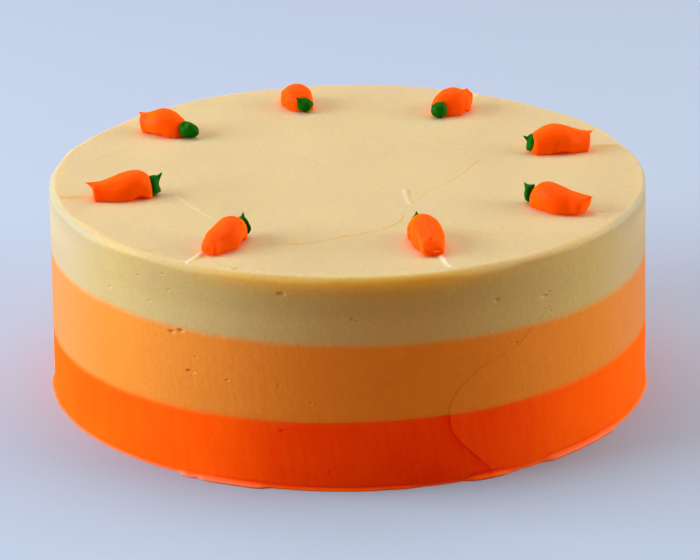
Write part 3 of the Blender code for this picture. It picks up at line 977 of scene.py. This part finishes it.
def relief_group():
    """Fine relief of smoothed icing: the scraper's upright chatter, grain and pin-prick bubbles."""
    numbers = dict.fromkeys(("Streaks", "Grain", "Bubbles"), NUMBER)
    group, given, made = new_group("smoothed_relief", numbers, {"Height": NUMBER})
    place = place_node(group)
    grain = noise_node(group, place, GRAIN, 4.0, 0.6)
    cells = group.nodes.new("ShaderNodeTexVoronoi")
    feed(cells, {"Vector": place, "Scale": 1 / BUBBLE_GAP})
    hole = ramp_node(group, cells.outputs["Distance"], 0.0, 0.07, -1.0, 0.0)
    total = times(group, streak_value(group), given["Streaks"])
    total = plus(group, total, times(group, grain, given["Grain"]))
    total = plus(group, total, times(group, hole, given["Bubbles"]))
    feed(made, {"Height": total})
    return group


SMEAR = 1.8 * MM  # half the height of a seam's smear
SMEAR_WAVER, SMEAR_LENGTH = 1.0 * MM, 5 * MM  # how far it wavers, over what length


def seam_group():
    """Where two bands meet they smear softly into each other, and painted shade deepens the icing at marks
    and painted highlight pales it.
    """
    colors = dict.fromkeys(("Color", "Above", "Below", "Deepened", "Paled"), COLOR)
    group, given, made = new_group(
        "seams_and_painted_shading", {**colors, "Top Seam": NUMBER, "Foot Seam": NUMBER}, {"Color": COLOR}
    )
    waver = math_node(group, "SUBTRACT", noise_node(group, place_node(group), SMEAR_LENGTH), 0.5)
    level = plus(group, attribute_node(group, "level"), times(group, waver, SMEAR_WAVER))
    under = math_node(group, "SUBTRACT", given["Top Seam"], level)
    over = math_node(group, "SUBTRACT", level, given["Foot Seam"])
    painted_shading = attribute_node(group, "painted_shading")
    color = given["Color"]
    for share, other in (
        (ramp_node(group, under, -SMEAR, SMEAR, 1.0, 0.0), "Above"),
        (ramp_node(group, over, -SMEAR, SMEAR, 1.0, 0.0), "Below"),
        (ramp_node(group, painted_shading, 0.0, 1.0, kind="LINEAR"), "Deepened"),
        (ramp_node(group, painted_shading, -1.0, 0.0, 1.0, 0.0, "LINEAR"), "Paled"),
    ):
        color = mix_node(group, share, color, given[other])
    feed(made, {"Color": color})
    return group


def use_group(tree, group, **values):
    """Places a group with its values, an underscore standing for a space; returns its results."""
    node = tree.nodes.new("ShaderNodeGroup")
    node.node_tree = group
    feed(node, {label.replace("_", " "): value for label, value in values.items()})
    return node.outputs


def new_material(name):
    """A material; returns it, its tree and its Principled shader."""
    material = bpy.data.materials.new(name)
    material.use_nodes = True
    return material, material.node_tree, material.node_tree.nodes["Principled BSDF"]


Look = namedtuple("Look", "color drift mottle warmth gloss specular scatter depth streaks grain bubbles bump")
LOOKS = {
    "cream": Look((0.588, 0.473, 0.228), 0.10, 0.28, 0.04, 0.60, 0.30, 1.0, 7.0, 1.0, 1.0, 0.6, 0.08),
    "pale": Look((0.74, 0.284, 0.036), 0.10, 0.26, 0.04, 0.55, 0.16, 0.0, 1.0, 1.0, 1.2, 0.6, 0.08),
    "deep": Look((0.99, 0.124, 0.0), 0.12, 0.18, 0.10, 0.50, 0.07, 0.0, 1.0, 1.3, 0.8, 0.6, 0.06),
    "carrot": Look((0.99, 0.10, 0.0), 0.10, 0.15, 0.05, 0.45, 0.04, 1.0, 3.0, 0.0, 0.6, 0.0, 0.05),
    "leaf": Look((0.003, 0.11, 0.0), 0.25, 0.20, 0.05, 0.45, 0.05, 0.2, 0.5, 0.0, 0.6, 0.0, 0.05),
}
# Painted glow: a faint emission stands in for light carried right through the gel colour.
PAINTED_GLOW = {"carrot": (1.0, 0.05, 0.0), "deep": (1.0, 0.0, 0.0)}
PAINTED_GLOW_STRENGTH = {"carrot": 0.14, "deep": 0.045}
SHEEN = {"cream": 0.15, "pale": 0.20, "deep": 0.07}  # a pale haze where the side turns away
SHEEN_ROUGHNESS, SHEEN_TINT = 0.3, (0.45, 0.65, 1.0)
SCATTER_RADII = (1.0, 0.6, 0.12)  # red light travels furthest through icing
SCATTER_START, SCATTER_FULL = UPPER_SEAM + 6 * MM, UPPER_SEAM + 13 * MM
SCRAPED_CREAM = (0.51, 0.455, 0.205)  # the side, which the scraper pressed, is a touch deeper
RIM_PAINTED_GLOW = (0.60, 0.44, 0.10)  # painted glow: golden where the top's light would come out of the front of the rim
# Painted glow: the emission colour, strength and belts of the glow at the front of the rim.
RIM_GLOW, RIM_GLOW_STRENGTH, RIM_GLOW_FALL = (1.0, 0.55, 0.02), 0.11, 6.4 * MM
RIM_BELT = (TOP - 4.0 * RIM, TOP - 0.8 * RIM, TOP - 0.3 * RIM, TOP)
GLOW_BELT = (TOP - RIM_GLOW_FALL, TOP - 0.6 * RIM, TOP - 0.5 * RIM, TOP - 0.05 * RIM)
FRONT_FROM, FRONT_TO = -84 * MM, -108 * MM
CARROT_GLOW_CREAM, CARROT_GLOW_REACH, CARROT_GLOW = (0.95, 0.27, 0.10), 1.6 * MM, 0.65  # painted glow: the carrots' red light on the cream beside them
CARROT_GLOW_FOOT = 0.6 * MM  # how close to the top's level a carrot's skin casts the painted glow
# Painted sheen: left and right the side's icing is painted a little whiter, more so the nearer it lies to
# those bearings.
FLANK_PAINTED_SHEEN = {"cream": (0.468, 0.463, 0.340), "pale": (0.71, 0.290, 0.098), "deep": (0.99, 0.148, 0.003)}
PAINTED_FLANK_FROM, PAINTED_FLANK_TO = 0.74 * LOWER_RADIUS, LOWER_RADIUS
PAINTED_FLANK_TOP = TOP - 0.2 * RIM
RIM_PAINTED_SHADE = (0.39, 0.40, 0.305)  # and painted shade makes the rim duller there
# Painted shade that deepens the colour in pits, grooves, the lip's crease and the side's front, and painted
# highlight that pales it on raised lines and the lip's thin edge.
PAINTED_SHADE = {"cream": (0.63, 0.41, 0.09), "pale": (0.66, 0.22, 0.010), "deep": (0.80, 0.020, 0.0)}
PAINTED_HIGHLIGHT = {"cream": (0.72, 0.62, 0.42), "pale": (0.90, 0.42, 0.12), "deep": (1.0, 0.30, 0.15)}
ABOVE = {"deep": "pale", "pale": "cream"}
BELOW = {"cream": "pale", "pale": "deep"}
STREAK_TONE = 0.06  # how much the chatter shows in the colour, for a look's streaks of 1
NO_SEAM = 1.0  # further off than any seam
TOP_SEAMS = {"deep": LOWER_SEAM, "pale": UPPER_SEAM}
FOOT_SEAMS = {"pale": LOWER_SEAM, "cream": UPPER_SEAM}


def belt(tree, level, start, full, ending, end):
    """Eases from 0 to 1 between two levels and back to 0 between two more."""
    return times(tree, ramp_node(tree, level, start, full), ramp_node(tree, level, ending, end, 1.0, 0.0))


def front_value(tree):
    """1 at the very front of the cake, easing to 0."""
    return ramp_node(tree, place_parts(tree)["Y"], FRONT_TO, FRONT_FROM, 1.0, 0.0)


def band_color(tree, name):
    """A band's colour without its seams and marks: painted sheen left and right, painted golden glow on the
    cream's rim in front and painted shade on it left and right, and a painted reddish glow beside the
    carrots.
    """
    aside = math_node(tree, "ABSOLUTE", place_parts(tree)["X"], 0.0)
    painted_flank = ramp_node(tree, aside, PAINTED_FLANK_FROM, PAINTED_FLANK_TO)
    if name != "cream":
        return mix_node(tree, painted_flank, LOOKS[name].color, FLANK_PAINTED_SHEEN[name])
    level = attribute_node(tree, "level")
    scraped = ramp_node(tree, level, TOP - RIM, TOP, 1.0, 0.0)
    color = mix_node(tree, scraped, LOOKS[name].color, SCRAPED_CREAM)
    painted_flank = times(tree, painted_flank, ramp_node(tree, level, PAINTED_FLANK_TOP, TOP, 1.0, 0.0))
    color = mix_node(tree, painted_flank, color, FLANK_PAINTED_SHEEN[name])
    rim = belt(tree, level, *RIM_BELT)
    color = mix_node(tree, times(tree, rim, front_value(tree)), color, RIM_PAINTED_GLOW)
    color = mix_node(tree, times(tree, rim, painted_flank), color, RIM_PAINTED_SHADE)
    return mix_node(tree, attribute_node(tree, "painted_carrot_glow"), color, CARROT_GLOW_CREAM)


def add_cream_light(tree, shader):
    """Painted glow by emission at the front of the cream's rim, standing in for the top's light coming out
    there; and subsurface light that spreads in its upper part.
    """
    level = attribute_node(tree, "level")
    lit = times(tree, belt(tree, level, *GLOW_BELT), front_value(tree))
    glow = mix_node(tree, lit, (0.0, 0.0, 0.0), RIM_GLOW)
    feed(shader, {"Emission Color": glow, "Emission Strength": RIM_GLOW_STRENGTH})
    feed(shader, {"Subsurface Weight": ramp_node(tree, level, SCATTER_START, SCATTER_FULL)})


def smeared_color(tree, group, name):
    """A band's colour with its seams and marks."""
    results = use_group(
        tree,
        group,
        Color=band_color(tree, name),
        Above=LOOKS[ABOVE.get(name, name)].color,
        Below=LOOKS[BELOW.get(name, name)].color,
        Deepened=PAINTED_SHADE[name],
        Paled=PAINTED_HIGHLIGHT[name],
        Top_Seam=TOP_SEAMS.get(name, NO_SEAM),
        Foot_Seam=FOOT_SEAMS.get(name, -NO_SEAM),
    )
    return results["Color"]


def icing_material(name, look, groups):
    """Buttercream: a Principled shader fed by the shared groups."""
    material, tree, shader = new_material(f"{name}_buttercream")
    tone = use_group(
        tree,
        groups["tone"],
        Color=smeared_color(tree, groups["seams"], name) if name in FLANK_PAINTED_SHEEN else look.color,
        Drift=look.drift,
        Mottle=look.mottle,
        Warmth=look.warmth,
        Streaks=STREAK_TONE * look.streaks,
        Gloss=look.gloss,
    )
    relief = use_group(tree, groups["relief"], Streaks=look.streaks, Grain=look.grain, Bubbles=look.bubbles)
    bump = tree.nodes.new("ShaderNodeBump")
    feed(bump, {"Strength": 1.0, "Distance": look.bump * MM, "Height": relief["Height"]})
    feed(shader, {
        "Base Color": tone["Color"],
        "Roughness": tone["Roughness"],
        "Normal": bump.outputs["Normal"],
        "Specular IOR Level": look.specular,
        "Subsurface Weight": look.scatter,
        "Subsurface Radius": SCATTER_RADII,
        "Subsurface Scale": look.depth * MM,
    })
    if name in SHEEN:
        sheen = {"Sheen Weight": SHEEN[name], "Sheen Roughness": SHEEN_ROUGHNESS, "Sheen Tint": SHEEN_TINT}
        feed(shader, sheen)
    if name in PAINTED_GLOW:
        feed(shader, {"Emission Color": PAINTED_GLOW[name], "Emission Strength": PAINTED_GLOW_STRENGTH[name]})
    if name == "cream":
        add_cream_light(tree, shader)
    return material


FLOOR_RADIUS = 8.0
FLOOR_COLOR = (0.40, 0.50, 0.64)
BOUNCE_COLOR = (0.62, 0.22, 0.0)  # warm, as the cake's gold board would throw the light back


def add_floor():
    """A plain pale floor, which lights the cake's foot warmly."""

    def round_sheet(bm):
        bmesh.ops.create_circle(bm, cap_ends=True, segments=96, radius=FLOOR_RADIUS)

    mesh = worked_mesh("floor", [], [], round_sheet)
    material, tree, shader = new_material("pale_floor")
    shown = tree.nodes.new("ShaderNodeLightPath").outputs["Is Camera Ray"]
    color = mix_node(tree, shown, BOUNCE_COLOR, FLOOR_COLOR)
    feed(shader, {"Roughness": 0.9, "Specular IOR Level": 0.1, "Base Color": color})
    mesh.materials.append(material)
    floor = add_object("floor", mesh)


def aim(thing, target, roll=0.0):
    """Turns a camera or light, standing where it is, to look at a point."""
    forward = (Vector(target) - thing.location).normalized()
    right = forward.cross(Vector((0, 0, 1))).normalized()
    up = right.cross(forward)
    turned_right = math.cos(roll) * right + math.sin(roll) * up
    turned_up = -math.sin(roll) * right + math.cos(roll) * up
    matrix = Matrix((turned_right, turned_up, -forward)).transposed().to_4x4()
    matrix.translation = thing.location
    thing.matrix_world = matrix


# Soft lights: name, place, width, height, watts, colour.
Lamp = namedtuple("Lamp", "name place width height watts color")
LAMPS = (
    Lamp("left_softbox", (-1.3, -0.12, 0.5), 1.2, 0.9, 30.0, (0.92, 0.98, 1.0)),
    Lamp("right_softbox", (1.3, 0.0, 0.5), 1.2, 0.9, 16.5, (0.97, 1.0, 0.88)),
    Lamp("top_softbox", (0.0, 0.5, 1.4), 1.8, 1.4, 22.0, (1.0, 0.82, 0.83)),
)
SKY_COLOR = (0.50, 0.57, 0.73)
SKY_LIGHT = 0.013  # how much of the sky's brightness falls on the cake


def add_lights():
    """Soft boxes left, right and above, and a pale sky that hardly lights."""
    for lamp in LAMPS:
        light = bpy.data.lights.new(lamp.name, "AREA")
        light.shape = "RECTANGLE"
        light.size, light.size_y = lamp.width, lamp.height
        light.energy = lamp.watts
        light.color = lamp.color
        thing = add_object(lamp.name, light)
        thing.location = lamp.place
        thing.visible_camera = False
        aim(thing, (0.0, 0.0, TOP / 2))
    world = bpy.data.worlds.new("pale_sky")
    world.use_nodes = True
    tree = world.node_tree
    shown = tree.nodes.new("ShaderNodeLightPath").outputs["Is Camera Ray"]
    strength = math_node(tree, "MAXIMUM", shown, SKY_LIGHT)
    feed(tree.nodes["Background"], {"Color": SKY_COLOR, "Strength": strength})
    bpy.context.scene.world = world


CAMERA_LENS = 180.0
CAMERA_DISTANCE = 1.28
CAMERA_CLIMB = math.radians(22.1)
CAMERA_ROLL = math.radians(-0.58)
CAMERA_TARGET = (0.0004, 0.0, 0.0353)


def add_camera():
    """A long lens looking down on the front."""
    camera = bpy.data.cameras.new("camera")
    camera.lens = CAMERA_LENS
    camera.clip_start, camera.clip_end = 0.05, 30.0
    thing = add_object("camera", camera)
    thing.location = CAMERA_DISTANCE * Vector((0.0, -math.cos(CAMERA_CLIMB), math.sin(CAMERA_CLIMB)))
    aim(thing, CAMERA_TARGET, CAMERA_ROLL)
    bpy.context.scene.camera = thing


def main():
    groups = {"tone": tone_group(), "relief": relief_group(), "seams": seam_group()}
    materials = {name: icing_material(name, look, groups) for name, look in LOOKS.items()}
    add_camera()
    add_cake(materials)
    add_carrots(materials)
    add_painted_carrot_glow()
    add_floor()
    add_lights()
    bpy.context.scene.view_settings.view_transform = "Standard"


main()
